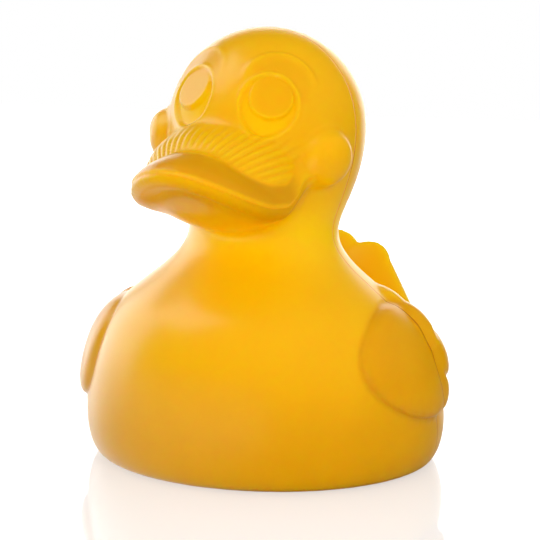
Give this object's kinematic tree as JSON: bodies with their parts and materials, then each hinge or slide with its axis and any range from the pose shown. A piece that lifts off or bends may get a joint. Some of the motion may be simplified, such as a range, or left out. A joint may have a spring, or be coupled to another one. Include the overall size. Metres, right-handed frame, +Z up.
{
  "type": "rubber duck",
  "caption": "Bath duck moulded in one piece of amber natural rubber, with a pleated bill root, round cheeks, oval eyes, scalloped wings and an upright tail. Stands on its flat underside.",
  "frame": {"origin": "middle of the flat underside, on the surface the duck stands on", "axes": "+Z up, -Y the way the duck faces, +X towards the duck's own left"},
  "size_m": [0.0948, 0.0943, 0.105],
  "materials": {
    "natural_rubber": "satin"
  },
  "bodies": {
    "root": {"duck": "natural_rubber"}
  },
  "joints": []
}
